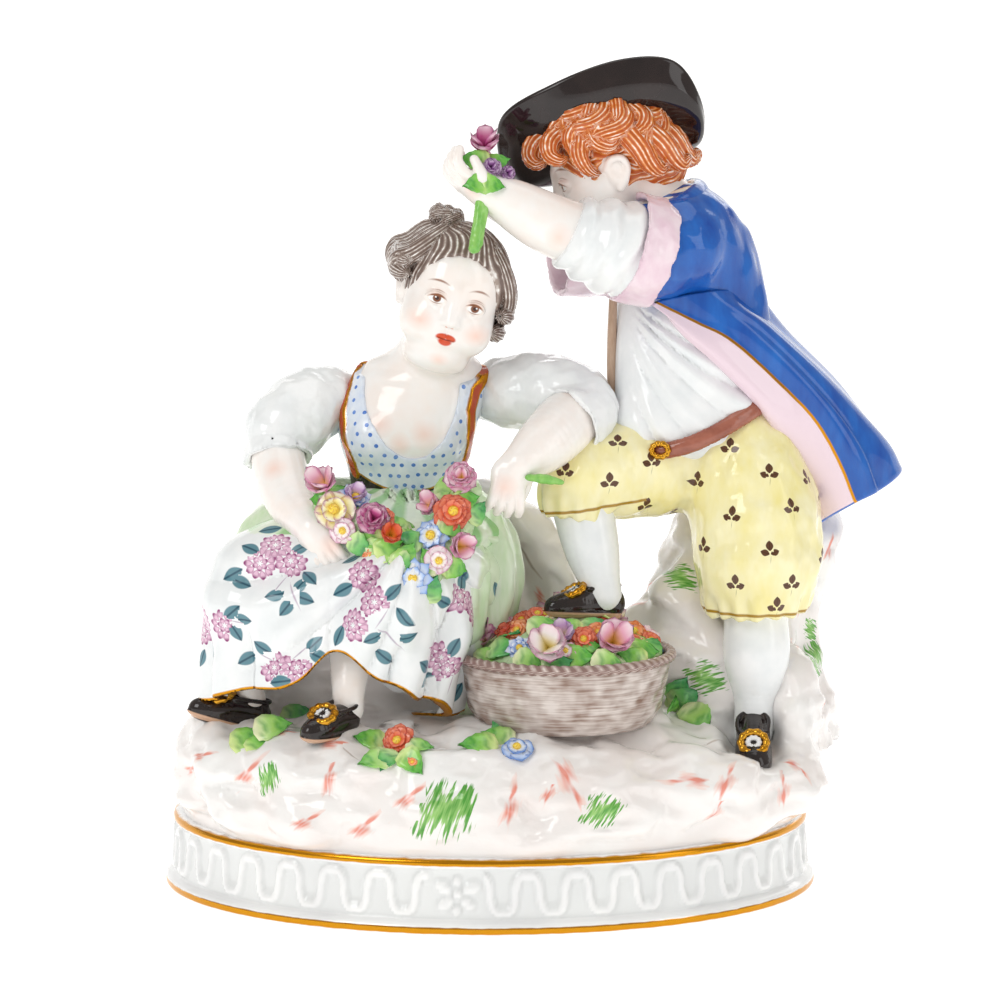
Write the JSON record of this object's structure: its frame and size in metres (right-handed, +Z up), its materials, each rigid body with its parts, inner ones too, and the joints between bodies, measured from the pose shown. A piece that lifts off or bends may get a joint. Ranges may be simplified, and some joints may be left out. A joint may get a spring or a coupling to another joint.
{
  "type": "porcelain figure group",
  "caption": "Porcelain figure group of a seated girl with flowers in her lap and a boy leaning over her, his foot on a flower basket, on a rocky mound and oval plinth.",
  "frame": {"origin": "centre of the oval plinth's flat underside", "axes": "+Z up, +X to the viewer's right and -Y towards the viewer, seen from the group's front"},
  "size_m": [0.1713, 0.12, 0.1916],
  "materials": {
    "porcelain": "glossy clear glaze over white porcelain, painted in overglaze enamels with gilt lines"
  },
  "bodies": {
    "root": {"porcelain_group": "porcelain"}
  },
  "joints": []
}
